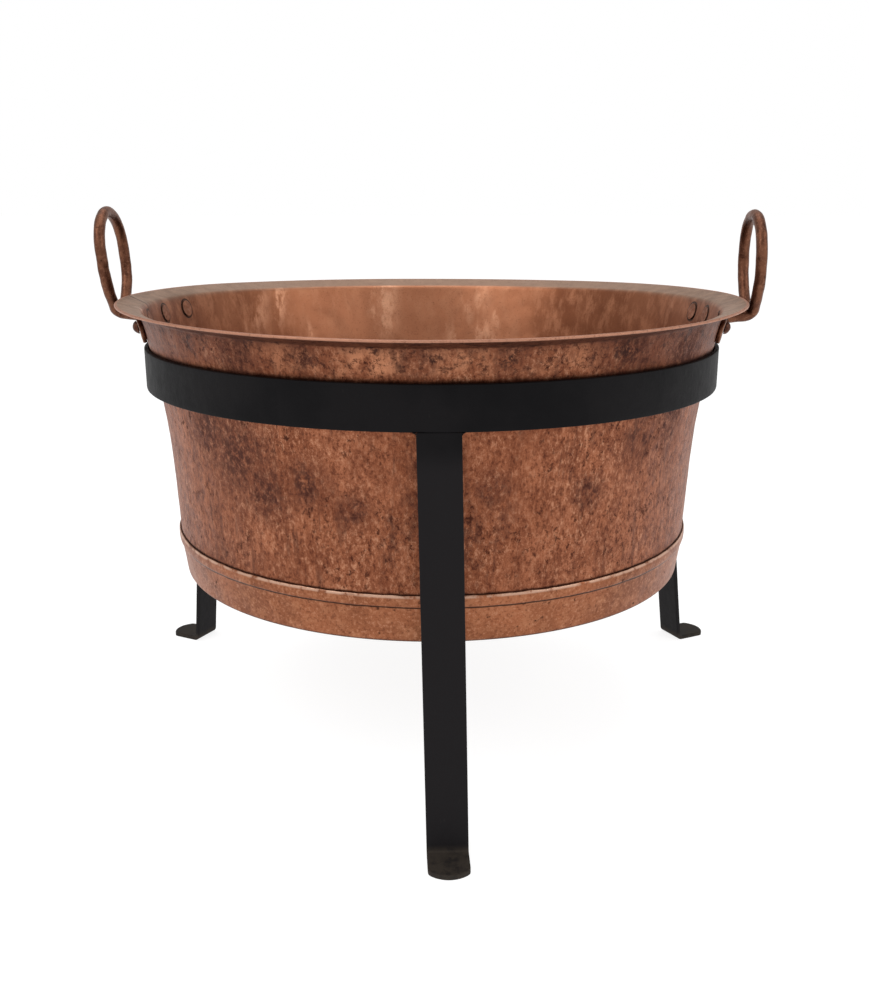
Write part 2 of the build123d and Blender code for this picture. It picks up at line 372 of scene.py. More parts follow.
def on_wall(azimuth, height):
    """A point on the wall's outside, in degrees and metres."""
    if height < FLARE_START[1]:
        radius = FLARE_START[0] - (FLARE_START[1] - height) * math.tan(CONE_SLOPE)
    else:
        sine = math.sin(CONE_SLOPE) + (height - FLARE_START[1]) / FLARE_RADIUS
        radius = FLARE_START[0] + FLARE_RADIUS * (math.cos(CONE_SLOPE) - math.sqrt(1 - sine**2))
    a = math.radians(azimuth)
    return radius * math.cos(a), radius * math.sin(a), height


def rivet_tails():
    """The middle of each rivet's tail, from the separate solids of the CAD nodes."""
    found = []
    for node in ("rivets_left", "rivets_right"):
        points = np.array([v.co for v in nodes[node].data.vertices])
        sideways = np.degrees(np.arctan2(points[:, 1], np.abs(points[:, 0])))
        order = np.argsort(sideways)
        gaps = np.argsort(np.diff(sideways[order]))[-3:]
        for group in np.split(order, np.sort(gaps) + 1):
            solid = points[group]
            tail = solid[np.hypot(solid[:, 0], solid[:, 1]) < TAIL_REACH]
            found.append(tuple((tail.min(0) + tail.max(0)) / 2))
    return found


TAILS = rivet_tails()

# Stains on the wall's outside: azimuth, height, radius
STAINS = [
    (232, 0.330, 0.034), (224, 0.345, 0.028), (238, 0.300, 0.024), (247, 0.312, 0.020),
    (256, 0.290, 0.014), (268, 0.300, 0.012), (281, 0.312, 0.014), (300, 0.300, 0.014),
    (312, 0.345, 0.020), (322, 0.355, 0.024), (268, 0.428, 0.018), (284, 0.430, 0.020),
    (306, 0.420, 0.034), (322, 0.415, 0.034), (250, 0.426, 0.016), (236, 0.420, 0.018),
    (30, 0.350, 0.034), (62, 0.300, 0.028), (98, 0.340, 0.040), (128, 0.290, 0.026),
    (150, 0.355, 0.030), (80, 0.420, 0.030), (118, 0.425, 0.034), (4, 0.300, 0.030),
]


def copper_outside():
    """Hand-hammered copper sheet with brown patina, purple-brown stains and dark specks."""
    p = Paint("copper_outside", Metallic=1.0)
    broad = p.noise(0.085, stretch=(1, 1, 0.55), detail=3, roughness=0.6)
    middle = p.noise(0.020, stretch=(1, 1, 0.7), detail=6, roughness=0.72, shift=3.1)
    grain = p.noise(0.0042, stretch=(1, 1, 0.6), detail=6, roughness=0.85, shift=7.7)
    specks = p.noise(0.0058, stretch=(1, 1, 0.75), detail=5, roughness=0.8, shift=12.3)
    drips = p.noise(0.011, stretch=(1, 1, 0.09), detail=4, roughness=0.65, shift=5.2)
    colour = p.blend(p.band(middle, 0.32, 0.68), (0.175, 0.055, 0.028), (0.335, 0.122, 0.062))
    colour = p.blend(p.share(p.band(broad, 0.35, 0.70), 0.6), colour,
                     (0.275, 0.092, 0.043))
    # fine mottling, lighter and darker than the sheet
    flecked = p.math("MULTIPLY_ADD", p.band(p.noise(0.055, shift=27.0), 0.38, 0.62), 0.45, 0.40)
    colour = p.blend(p.math("MULTIPLY", p.band(grain, 0.50, 0.64), flecked), colour,
                     (0.540, 0.262, 0.154))
    colour = p.blend(p.share(p.band(grain, 0.49, 0.38), 0.80), colour,
                     (0.085, 0.024, 0.014))
    # painted reflection of the floor: the flare over the hoop faces down towards the floor and is
    # painted lighter at the front
    floor_reflection = p.math("MULTIPLY", p.band(p.z, HOOP_TOP + 0.003, HOOP_TOP + 0.010),
                   p.band(p.z, 0.441, 0.434))
    front = p.math("MULTIPLY", p.band(p.y, -0.14, -0.25),
                   p.band(p.math("ABSOLUTE", p.x), 0.20, 0.06))
    floor_reflection = p.math("MULTIPLY", floor_reflection, front)
    floor_reflection = p.math("MULTIPLY", floor_reflection,
                   p.math("MULTIPLY_ADD", p.band(middle, 0.42, 0.58), 0.50, 0.06))
    colour = p.blend(floor_reflection, colour, (0.600, 0.270, 0.145))
    # purple-brown stains with ragged edges
    ragged = p.math("MULTIPLY", p.band(middle, 0.36, 0.56), p.band(specks, 0.38, 0.54))
    spots = [p.near(on_wall(a, h), 0.2 * r, 1.6 * r) for a, h, r in STAINS]
    stained = p.math("MULTIPLY", p.most(spots), p.math("MULTIPLY_ADD", ragged, 0.8, 0.2))
    patches = p.math("MULTIPLY", p.band(broad, 0.50, 0.64), ragged)
    stained = p.math("MAXIMUM", stained, p.math("MULTIPLY", patches, 0.6))
    colour = p.blend(p.share(stained, 0.85), colour, (0.070, 0.027, 0.023))
    # dark specks, thick in some places and thin in others
    many = p.band(p.noise(0.045, shift=21.0), 0.36, 0.62)
    dots = p.math("MULTIPLY", p.band(specks, 0.55, 0.61),
                  p.math("MULTIPLY_ADD", many, 0.75, 0.25))
    colour = p.blend(p.share(dots, 0.80), colour, (0.066, 0.020, 0.013))
    run = p.math("MULTIPLY", p.band(drips, 0.55, 0.66), p.band(middle, 0.36, 0.56))
    colour = p.blend(p.share(run, 0.55), colour, (0.085, 0.031, 0.021))
    # painted shade under the rim, in blotches, and painted shade with dirt in the corner over the
    # base's edge
    rim_shade_blotches = p.math("MULTIPLY_ADD", p.band(middle, 0.30, 0.62), 0.40, 0.25)
    under_rim_shade = p.math("MULTIPLY", p.band(p.z, 0.426, 0.440), rim_shade_blotches)
    colour = p.blend(p.share(under_rim_shade, 0.85), colour, (0.055, 0.019, 0.014))
    # the flare is browner than the wall, more so towards the sides
    brown = p.math("MULTIPLY", p.band(p.z, HOOP_TOP - 0.004, HOOP_TOP + 0.012),
                   p.math("MULTIPLY_ADD", front, -0.36, 0.42))
    colour = p.blend(brown, colour, (0.090, 0.030, 0.018))
    cracks = p.math("MULTIPLY", p.band(p.z, HOOP_TOP, HOOP_TOP + 0.010),
                    p.band(p.noise(0.0065, stretch=(1, 1, 1.3), detail=5, roughness=0.8,
                                   shift=33.0), 0.53, 0.60))
    colour = p.blend(p.share(cracks, 0.70), colour, (0.055, 0.018, 0.012))
    black = p.math("MULTIPLY", p.band(p.z, 0.412, 0.425),
                   p.band(p.noise(0.020, shift=41.0), 0.54, 0.64))
    black = p.math("MULTIPLY", black, p.band(specks, 0.42, 0.56))
    colour = p.blend(p.share(black, 0.70), colour, (0.030, 0.014, 0.013))
    # the lap of the wall's sheet, seen from outside
    at_seam = p.math("MULTIPLY", p.band(p.off(p.y, SEAM_OUTSIDE),
                                        0.0011, 0.0004), p.band(p.x, 0.0, -0.01))
    colour = p.blend(p.share(at_seam, 0.8), colour, (0.030, 0.013, 0.010))
    # painted shade with dirt in the corner over the base's edge, just above it
    wobble = p.math("MULTIPLY_ADD", p.noise(0.012, shift=2.0), 0.003, p.z)
    corner = p.band(wobble, OVERLAP_TOP + 0.0045, OVERLAP_TOP + 0.0015)
    colour = p.blend(p.share(corner, 0.95), colour, (0.018, 0.007, 0.006))
    # painted shade in the gap over the hoop's edge
    hoop_gap_shade = p.band(p.math("MULTIPLY_ADD", middle, 0.006, p.z), HOOP_TOP + 0.0065,
                       HOOP_TOP + 0.0025)
    hoop_gap_shade = p.math("MULTIPLY", hoop_gap_shade, p.band(p.z, HOOP_TOP - 0.006, HOOP_TOP - 0.002))
    colour = p.blend(p.share(hoop_gap_shade, 0.8), colour, (0.035, 0.009, 0.006))
    # the rim's edge is rubbed bright, and a painted highlight runs along it
    radius = p.from_axis()
    edge = p.math("MULTIPLY", p.band(radius, RIM_RADIUS - 0.0016, RIM_RADIUS - 0.0004),
                  p.band(grain, 0.25, 0.50))
    colour = p.blend(p.share(edge, 0.9), colour, (0.470, 0.235, 0.155))
    rough = p.math("MULTIPLY_ADD", p.math("MAXIMUM", stained, dots), 0.22, 0.42)
    rough = p.math("MULTIPLY_ADD", grain, 0.16, rough)
    hammer = p.hammer_marks(0.017)
    normal = p.bump(hammer, 0.0012)
    normal = p.bump(middle, 0.0006, normal)
    normal = p.bump(grain, 0.00025, normal)
    return p.use(colour, rough, normal)


# Burnished places of the wall's inside: x on the back wall, half width, lowest height, share
BURNISHED = [(-0.061, 0.015, 0.380, 0.55), (-0.212, 0.007, 0.390, 0.30),
             (0.070, 0.008, 0.395, 0.20), (-0.190, 0.004, 0.400, 0.40)]


def copper_inside():
    """Smoother brown copper with brighter burnished patches, and a dusty flange."""
    p = Paint("copper_inside", Metallic=1.0)
    broad = p.noise(0.060, stretch=(1, 1, 0.25), detail=2, roughness=0.5, shift=4.0)
    middle = p.noise(0.015, stretch=(1, 1, 0.45), detail=5, roughness=0.66, shift=1.4)
    grain = p.noise(0.0034, detail=5, roughness=0.80, shift=9.0)
    colour = p.blend(p.band(broad, 0.34, 0.66), (0.240, 0.086, 0.042), (0.365, 0.146, 0.075))
    # painted light on the middle of the back, and painted shade towards the sides
    painted_back_light = p.band(p.off(p.x, -0.03), 0.17, 0.07)
    painted_back_light = p.math("MULTIPLY", painted_back_light, p.band(p.y, 0.0, 0.15))
    colour = p.blend(p.share(painted_back_light, 0.55), colour, (0.470, 0.198, 0.106))
    painted_side_shade = p.band(p.off(p.x, -0.03), 0.13, 0.24)
    colour = p.blend(p.share(painted_side_shade, 0.38), colour, (0.110, 0.040, 0.022))
    colour = p.blend(p.share(p.band(middle, 0.42, 0.66), 0.6), colour,
                     (0.430, 0.190, 0.104))
    patch = p.math("MULTIPLY", p.band(p.noise(0.05, stretch=(1, 1, 0.3), shift=31.0), 0.58, 0.72),
                   p.band(middle, 0.42, 0.60))
    behind = p.band(p.y, 0.10, 0.16)
    wander = p.math("MULTIPLY_ADD", p.math("SUBTRACT", middle, 0.5), 0.045, p.x)
    for x, half, low, share in BURNISHED:
        strip = p.math("MULTIPLY", p.band(p.off(wander, x), 1.6 * half, 0.4 * half), behind)
        strip = p.math("MULTIPLY", strip, p.band(p.z, low - 0.02, low + 0.02))
        ragged = p.math("MULTIPLY_ADD", p.band(middle, 0.42, 0.58), 1.2 * share, 0.6 * share)
        patch = p.math("MAXIMUM", patch, p.math("MULTIPLY", strip, ragged))
    colour = p.blend(p.share(patch, 0.80), colour, (0.640, 0.330, 0.200))
    dull = p.math("MULTIPLY", p.band(grain, 0.54, 0.66), p.band(broad, 0.62, 0.40))
    colour = p.blend(p.share(dull, 0.45), colour, (0.120, 0.046, 0.027))
    colour = p.blend(p.share(p.band(grain, 0.46, 0.36), 0.35), colour,
                     (0.140, 0.048, 0.027))
    # smoke and ash low down, where the fire lies
    low = p.band(p.math("MULTIPLY_ADD", middle, 0.05, p.z), 0.290, 0.205)
    colour = p.blend(p.share(low, 0.7), colour, (0.060, 0.036, 0.027))
    radius = p.from_axis()
    flange = p.band(radius, 0.2985, 0.3035)
    dusty = p.blend(p.band(middle, 0.30, 0.70), (0.215, 0.136, 0.092), (0.315, 0.206, 0.144))
    dusty = p.blend(p.math("MULTIPLY", p.band(p.y, 0.05, 0.25), 0.6), dusty,
                    (0.385, 0.262, 0.194))
    dusty = p.blend(p.share(p.band(grain, 0.52, 0.66), 0.35), dusty,
                    (0.150, 0.092, 0.066))
    colour = p.blend(p.share(flange, 0.92), colour, dusty)
    # the rim's edge is rubbed bright here too, and a painted highlight runs along it
    edge = p.math("MULTIPLY", p.band(radius, RIM_RADIUS - 0.0026, RIM_RADIUS - 0.0012),
                  p.band(grain, 0.25, 0.50))
    colour = p.blend(p.share(edge, 0.9), colour, (0.400, 0.200, 0.135))
    # the lap of the wall's sheet: a line slanting over the flange and straight down the wall
    slant = p.math("MULTIPLY_ADD", p.math("SUBTRACT", radius, RIM_RADIUS), 0.85, 0.006)
    off_seam = p.math("SUBTRACT", p.y, p.math("MAXIMUM", slant, SEAM_INSIDE))
    left = p.band(p.x, 0.0, -0.01)
    seam = p.math("MULTIPLY", p.band(p.math("ABSOLUTE", off_seam), 0.0025, 0.0012), left)
    colour = p.blend(p.share(seam, 0.93), colour, (0.026, 0.013, 0.010))
    step = p.math("MULTIPLY", p.math("MULTIPLY", p.band(off_seam, -0.0006, 0.0006),
                                     p.band(off_seam, 0.012, 0.004)), left)
    # painted shade: a dark ring round each rivet's tail
    rings = p.tail_shade_rings(0.0106, 0.0013)
    colour = p.blend(p.share(rings, 0.90), colour, (0.030, 0.016, 0.012))
    rough = p.math("MULTIPLY_ADD", patch, -0.10, 0.43)
    rough = p.math("MULTIPLY_ADD", flange, 0.10, rough)
    rough = p.math("MULTIPLY_ADD", grain, 0.12, rough)
    rough = p.math("MULTIPLY_ADD", low, 0.25, rough)
    normal = p.bump(p.hammer_marks(0.021), 0.0007)
    normal = p.bump(step, 0.0007, normal)
    normal = p.bump(middle, 0.0003, normal)
    normal = p.bump(grain, 0.00014, normal)
    return p.use(colour, rough, normal)


def copper_base():
    """The base's copper: cleaner than the wall, with a few dark spots, a dark line along the
    crease and a painted highlight on its lip.
    """
    p = Paint("copper_base", Metallic=1.0)
    broad = p.noise(0.060, stretch=(1, 1, 0.8), detail=3, shift=6.0)
    middle = p.noise(0.013, detail=5, roughness=0.66, shift=2.0)
    grain = p.noise(0.0032, detail=4, roughness=0.75, shift=8.0)
    colour = p.blend(p.band(broad, 0.32, 0.68), (0.215, 0.076, 0.037), (0.320, 0.116, 0.056))
    colour = p.blend(p.share(p.band(middle, 0.45, 0.68), 0.6), colour,
                     (0.400, 0.170, 0.088))
    colour = p.blend(p.share(p.band(grain, 0.52, 0.66), 0.58), colour,
                     (0.110, 0.034, 0.019))
    colour = p.blend(p.share(p.band(grain, 0.46, 0.36), 0.52), colour,
                     (0.480, 0.230, 0.135))
    spots = p.math("MULTIPLY", p.band(p.noise(0.009, shift=17.0), 0.64, 0.72),
                   p.band(grain, 0.35, 0.55))
    colour = p.blend(p.share(spots, 0.85), colour, (0.045, 0.017, 0.012))
    height = p.math("MULTIPLY_ADD", p.noise(0.02, shift=3.0), 0.0016, p.z)
    crease = p.band(p.off(height, JOGGLE_LOW + 0.0014), 0.0013, 0.0004)
    colour = p.blend(p.share(crease, 0.9), colour, (0.020, 0.008, 0.006))
    # painted highlight along the lip of the base's edge
    lip_highlight = p.band(p.z, OVERLAP_TOP - 0.0030, OVERLAP_TOP - 0.0010)
    colour = p.blend(p.math("MULTIPLY", lip_highlight, p.band(middle, 0.35, 0.55)), colour,
                     (0.520, 0.320, 0.230))
    # soot under the floor
    under = p.band(p.z, BASE_BOTTOM + 0.0035, BASE_BOTTOM + 0.0008)
    sooty = p.blend(p.band(middle, 0.35, 0.65), (0.040, 0.020, 0.015), (0.110, 0.048, 0.028))
    colour = p.blend(p.share(under, 0.85), colour, sooty)
    rough = p.math("MULTIPLY_ADD", grain, 0.20, 0.34)
    rough = p.math("MULTIPLY_ADD", p.math("MAXIMUM", spots, under), 0.2, rough)
    normal = p.bump(p.hammer_marks(0.019), 0.0008)
    normal = p.bump(middle, 0.0004, normal)
    normal = p.bump(grain, 0.00018, normal)
    return p.use(colour, rough, normal)


def copper_rod(name, dark, light, worn, tails=None):
    """Forged copper of the handles and rivets, dull brown with brighter worn places. The
    rivets' tails, inside the wall, have the wall's own colour."""
    p = Paint(name, Metallic=1.0)
    middle = p.noise(0.012, detail=4, roughness=0.6, shift=1.0)
    grain = p.noise(0.0024, detail=4, roughness=0.7, shift=4.0)
    colour = p.blend(p.band(middle, 0.32, 0.68), dark, light)
    colour = p.blend(p.share(p.band(grain, 0.50, 0.66), 0.5), colour, worn)
    pointed = p.node("NewGeometry", {}).outputs["Pointiness"]
    rubbed = p.math("MULTIPLY", p.band(pointed, 0.505, 0.56), p.band(middle, 0.3, 0.6))
    colour = p.blend(p.share(rubbed, 0.7), colour, worn)
    pits = p.band(p.noise(0.0042, shift=13.0), 0.62, 0.72)
    colour = p.blend(p.share(pits, 0.6), colour, [0.35 * c for c in dark])
    if tails is not None:
        radius = p.from_axis()
        spotted = p.blend(p.band(middle, 0.35, 0.65), tails, [0.75 * c for c in tails])
        colour = p.blend(p.band(radius, TAIL_REACH, TAIL_REACH - 0.0015), colour, spotted)
        # painted shade: a dark ring round the edge of each rivet's tail
        colour = p.blend(p.math("MULTIPLY", p.tail_shade_rings(0.0095, 0.0010), 0.85), colour,
                         (0.030, 0.016, 0.012))
    rough = p.math("MULTIPLY_ADD", middle, 0.22, 0.34)
    rough = p.math("MULTIPLY_ADD", pits, 0.2, rough)
    normal = p.bump(p.hammer_marks(0.009), 0.0005)
    normal = p.bump(grain, 0.00018, normal)
    return p.use(colour, rough, normal)


def black_paint():
    """Dull black paint brushed on forged iron, scuffed grey and brown on edges and feet."""
    p = Paint("black_paint", Metallic=0.0, Specular_IOR_Level=0.08)
    broad = p.noise(0.07, detail=3, shift=3.0)
    middle = p.noise(0.010, detail=4, roughness=0.65, shift=6.0)
    grain = p.noise(0.0016, detail=3, roughness=0.7, shift=8.0)
    colour = p.blend(p.band(broad, 0.35, 0.65), (0.0030, 0.0026, 0.0032),
                     (0.0058, 0.0050, 0.0056))
    colour = p.blend(p.math("MULTIPLY", p.band(p.z, 0.360, 0.330), 0.9), colour,
                     (0.0105, 0.0092, 0.0100))
    pointed = p.node("NewGeometry", {}).outputs["Pointiness"]
    worn = p.math("MULTIPLY", p.band(pointed, 0.56, 0.64), p.band(middle, 0.46, 0.62))
    colour = p.blend(p.share(worn, 0.5), colour, (0.026, 0.020, 0.017))
    scuffs = p.math("MULTIPLY", p.band(p.noise(0.0035, stretch=(1, 1, 0.25), shift=9.0),
                                       0.68, 0.76), p.band(broad, 0.50, 0.68))
    colour = p.blend(p.share(scuffs, 0.4), colour, (0.030, 0.026, 0.024))
    feet = p.math("MULTIPLY", p.band(p.z, 0.012, 0.0045), p.band(middle, 0.20, 0.60))
    colour = p.blend(p.share(feet, 0.8), colour, (0.040, 0.032, 0.025))
    rough = p.math("MULTIPLY_ADD", middle, 0.18, 0.46)
    rough = p.math("MULTIPLY_ADD", feet, 0.15, rough)
    normal = p.bump(middle, 0.00035)
    normal = p.bump(grain, 0.00007, normal)
    return p.use(colour, rough, normal)


def grate_iron():
    """Fire-scaled iron: dark grey with rust and pale ash in the hollows."""
    p = Paint("grate_iron", Metallic=0.35, Specular_IOR_Level=0.35)
    broad = p.noise(0.06, detail=3, shift=2.0)
    middle = p.noise(0.009, detail=5, roughness=0.68, shift=5.0)
    grain = p.noise(0.0019, detail=4, roughness=0.72, shift=11.0)
    colour = p.blend(p.band(middle, 0.32, 0.66), (0.030, 0.028, 0.027), (0.075, 0.068, 0.062))
    rust = p.math("MULTIPLY", p.band(broad, 0.44, 0.62), p.band(middle, 0.45, 0.62))
    colour = p.blend(p.share(rust, 0.75), colour, (0.160, 0.062, 0.026))
    ash = p.math("MULTIPLY", p.band(grain, 0.52, 0.66), p.band(broad, 0.62, 0.42))
    colour = p.blend(p.share(ash, 0.55), colour, (0.240, 0.225, 0.205))
    rough = p.math("MULTIPLY_ADD", grain, 0.25, 0.60)
    normal = p.bump(middle, 0.0009)
    normal = p.bump(grain, 0.00025, normal)
    return p.use(colour, rough, normal)


OUTSIDE, INSIDE, BASE = copper_outside(), copper_inside(), copper_base()
ROD = copper_rod("copper_rod", (0.094, 0.037, 0.022), (0.172, 0.072, 0.041),
                 (0.280, 0.134, 0.082))
RIVET = copper_rod("copper_rivet", (0.055, 0.022, 0.015), (0.110, 0.044, 0.027),
                   (0.210, 0.096, 0.060), tails=(0.300, 0.125, 0.070))
IRON, SCALE = black_paint(), grate_iron()


# --- Pan -----------------------------------------------------------------------------------
def sheet_profile(rise):
    """Radius, height and slope from upright along the wall's outside, foot to rim's edge,
    with the flare's end raised by rise."""
    points = []
    cone = np.linspace(WALL_FOOT, FLARE_START[1], 27)
    for height in cone[:-1]:
        drop = (FLARE_START[1] - height) * math.tan(CONE_SLOPE)
        points.append((FLARE_START[0] - drop, height, CONE_SLOPE))
    turn = FLARE_TURN + rise / FLARE_RADIUS
    for slope in CONE_SLOPE + np.linspace(0, turn, 57):
        radius = FLARE_START[0] + FLARE_RADIUS * (math.cos(CONE_SLOPE) - math.cos(slope))
        height = FLARE_START[1] + FLARE_RADIUS * (math.sin(slope) - math.sin(CONE_SLOPE))
        points.append((radius, height, slope))
    radius, height, slope = points[-1]
    middle = (radius + FLANGE_BEND * math.cos(slope), height - FLANGE_BEND * math.sin(slope))
    flat = math.pi / 2 - FLANGE_RISE
    for turned in np.linspace(slope, flat, 9)[1:]:
        points.append((middle[0] - FLANGE_BEND * math.cos(turned),
                       middle[1] + FLANGE_BEND * math.sin(turned), turned))
    start = points[-1]
    reach = RIM_RADIUS - start[0]
    for step in np.linspace(0, reach, 10)[1:]:
        points.append((start[0] + step, start[1] + step * math.tan(FLANGE_RISE), flat))
    return np.array(points)


def round_sheet(outside, sheet):
    """A closed outline from the outside line of a sheet, with a rounded upper edge."""
    radius, height, slope = outside.T
    inner = np.stack([radius - sheet * np.cos(slope), height + sheet * np.sin(slope)], axis=-1)
    outer = np.stack([radius, height], axis=-1)
    middle = (outer[-1] + inner[-1]) / 2
    across = (outer[-1] - inner[-1]) / 2
    along = np.array([math.sin(slope[-1]), math.cos(slope[-1])]) * sheet / 2
    cap = [middle + across * math.cos(a) + along * math.sin(a)
           for a in np.linspace(0, math.pi, 6)[1:-1]]
    return np.concatenate([outer, np.array(cap), inner[::-1]])


def dents(azimuth, height, depth, size, seed):
    """How far the sheet stands inwards at a place, from small and broad hammer dents."""
    points = np.stack([0.28 * np.cos(azimuth), 0.28 * np.sin(azimuth), height], axis=-1)
    small = ripple(points, size, seed)
    broad = ripple(points, 5 * size, seed + 9.0)
    return depth * np.clip(0.5 + 0.45 * small + 0.5 * broad, 0, 1.4)


def make_wall():
    """The wall's sheet with its rim flange, hammer dents and lap seam."""
    turns = 476
    even = np.arange(turns) / turns * 2 * math.pi
    # extra lines of points close beside the seam keep its step sharp
    beside = SEAM_AZIMUTH + np.radians([-0.35, -0.05, 0.05, 0.35])
    spread = np.abs(even[:, None] - beside[None, :]).min(axis=1) > math.radians(0.3)
    azimuths = np.sort(np.concatenate([even[spread], beside]))
    outline = [round_sheet(sheet_profile(RIM_SADDLE * math.cos(2 * a)), WALL_SHEET)
               for a in azimuths]
    outline = np.array(outline)
    count = len(sheet_profile(0.0))
    radius, height = outline[..., 0], outline[..., 1]
    azimuth = np.repeat(azimuths[:, None], outline.shape[1], axis=1)
    inner = np.zeros_like(radius)
    inner[:, count + 2:] = 1.0
    # inside, the seam slants over the flange
    slant = SEAM_SLANT * np.clip((RIM_RADIUS - radius) / SEAM_SLANT_WIDTH, 0, 1) * inner
    from_seam = azimuth - SEAM_AZIMUTH
    azimuth = azimuth + slant * np.exp(-(from_seam / math.radians(14)) ** 2)
    lap_inside = LAP_INSIDE * np.exp(-np.clip(from_seam, 0, None) / math.radians(14))
    lap_inside = np.where(from_seam > 0, lap_inside, 0) * inner
    lap_outside = LAP_OUTSIDE * np.exp(np.clip(from_seam, None, 0) / math.radians(1.2))
    lap_outside = np.where(from_seam < 0, lap_outside, 0) * (1 - inner)
    # no dents behind the base's edge, and shallow ones where the handles are riveted on
    low_fade = np.clip((height - DENTS_BOTTOM) / 0.010, 0, 1)
    handle_side = np.abs(np.cos(azimuth)) > math.cos(math.radians(26))
    riveted = np.where(handle_side & (height > 0.40), 0.2, 1.0)
    depth = dents(azimuth, height, 0.0006, 0.016, 0.0) * low_fade * riveted
    rim_wave = 0.0004 * ripple(
        np.stack([np.cos(azimuth), np.sin(azimuth), 0 * azimuth], axis=-1), 0.35, 2.0)
    lifted = np.clip((height - 0.43) / 0.012, 0, 1) * rim_wave
    radius = radius - depth - lap_inside + lap_outside
    points = np.stack([radius * np.cos(azimuth), radius * np.sin(azimuth), height + lifted],
                      axis=-1)
    faces = grid_faces(*radius.shape, wrap_rows=True, wrap_columns=True, flip=True)
    wall = new_object("wall_sheet", points.reshape(-1, 3), faces, sharp=math.radians(40))
    wall.data.materials.append(OUTSIDE)
    wall.data.materials.append(INSIDE)
    columns = np.arange(outline.shape[1])
    is_inside = (columns >= count + 2) & (columns < 2 * count + 4)
    wall.data.polygons.foreach_set("material_index",
                                   np.tile(is_inside.astype(int), len(azimuths)))
    return settle(wall, "pan_wall", None)


def make_base():
    """The base dish, from the middle of its floor to the edge that laps over the wall."""
    flat_radius = BASE_CORNER - BASE_FILLET
    line = [(r, BASE_BOTTOM) for r in np.linspace(0, flat_radius, 40)]
    for a in np.linspace(0, math.radians(82), 9)[1:]:
        line.append((flat_radius + BASE_FILLET * math.sin(a),
                     BASE_BOTTOM + BASE_FILLET * (1 - math.cos(a))))
    start = line[-1]
    line += [tuple(np.array(start) + (np.array(BASE_EDGE[0]) - start) * t)
             for t in np.linspace(0, 1, 13)[1:-1]]
    line = np.array(line + BASE_EDGE)
    step = np.gradient(line, axis=0)
    slope = np.arctan2(step[:, 0], step[:, 1])
    outline = round_sheet(np.column_stack([line, slope]), BASE_SHEET)
    count, turns = len(line), 440
    azimuths = np.arange(turns) / turns * 2 * math.pi
    radius = np.repeat(outline[None, :, 0], turns, axis=0)
    height = np.repeat(outline[None, :, 1], turns, axis=0)
    azimuth = np.repeat(azimuths[:, None], outline.shape[0], axis=1)
    upright = np.clip((height - BASE_BOTTOM) / 0.008, 0, 1)
    depth = dents(azimuth, height, 0.0005, 0.014, 4.0) * upright
    # the hammered edge wanders a little up and down
    circle = np.stack([np.cos(azimuth), np.sin(azimuth), 0 * azimuth], axis=-1)
    wander = 0.0006 * ripple(circle, 0.05, 6.0) + 0.0003 * ripple(circle, 0.02, 8.0)
    height = height + wander * np.clip((height - JOGGLE_LOW) / 0.003, 0, 1) * (radius > 0.2)
    # the floor is beaten flat, with slight unevenness
    flat = (1 - upright) * (radius < 0.262)
    spot = np.stack([radius * np.cos(azimuth), radius * np.sin(azimuth), 0 * radius], axis=-1)
    uneven = 0.0005 * np.clip(0.5 + ripple(spot, 0.03, 1.0), 0, 1) * flat
    above = (np.arange(outline.shape[0]) >= count + 2)[None, :]
    height = height + np.where(above, -uneven, uneven)
    radius = np.maximum(radius - depth * (radius > 0.2), 0)
    points = np.stack([radius * np.cos(azimuth), radius * np.sin(azimuth), height], axis=-1)
    # the outline's first and last points are on the axis: one point each closes the dish
    points = points[:, 1:-1].reshape(-1, 3)
    columns = outline.shape[0] - 2
    faces = grid_faces(turns, columns, wrap_rows=True, flip=True).tolist()
    low = len(points)
    ring = np.arange(turns) * columns
    for tip, offset in ((low, 0), (low + 1, columns - 1)):
        for a, b in zip(ring, np.roll(ring, -1)):
            faces.append([tip, a + offset, b + offset][::1 if offset else -1])
    middles = [(0, 0, float(height[0, 0])), (0, 0, float(height[0, -1]))]
    mesh_points = np.concatenate([points, middles])
    mesh = bpy.data.meshes.new("base_dish")
    mesh.from_pydata(mesh_points.tolist(), [], faces)
    mesh.polygons.foreach_set("use_smooth", [True] * len(mesh.polygons))
    mesh.update()
    piece = bpy.data.objects.new("base_dish", mesh)
    bpy.context.scene.collection.objects.link(piece)
    piece.data.materials.append(BASE)
    piece.data.materials.append(INSIDE)
    is_inside = [f.center.z > BASE_BOTTOM + 0.6 * BASE_SHEET and f.normal.z > 0.7
                 for f in mesh.polygons]
    mesh.polygons.foreach_set("material_index", np.array(is_inside, int))
    return settle(piece, "pan_base", None)


make_wall()
make_base()
for side in ("left", "right"):
    handle = forged_copy(f"forged_handle_{side}", f"handle_{side}", 0.0009, 8, 0.0004, 0.010)
    settle(handle, f"handle_{side}", ROD)
    rivets = forged_copy(f"hammered_rivets_{side}", f"rivets_{side}", 0.0005, 3, 0.0003, 0.004)
    settle(rivets, f"rivets_{side}", RIVET)


# --- Stand ---------------------------------------------------------------------------------
def make_hoop():
    """The stand's hoop, with a slight ridge where its ends are welded together."""
    middle_radius = HOOP_RADIUS - BAR / 2
    middle_height = (HOOP_BOTTOM + HOOP_TOP) / 2
    along = np.arange(360) / 360 * 2 * math.pi * middle_radius
    weld_azimuth = math.radians(100)

    def place(s, w, t):
        a = s / middle_radius
        ridge = 0.0004 * math.exp(-((a - weld_azimuth) * middle_radius / 0.003) ** 2)
        radius = middle_radius + t + (ridge if t > 0 else 0)
        return radius * math.cos(a), radius * math.sin(a), middle_height + w

    hoop = slab("hoop_bar", along, lambda s: (HOOP_TOP - HOOP_BOTTOM) / 2, BAR, 0.0009, place,
                wave=0.0004, seed=2.0, closed=True)
    return settle(hoop, "stand_hoop", IRON)


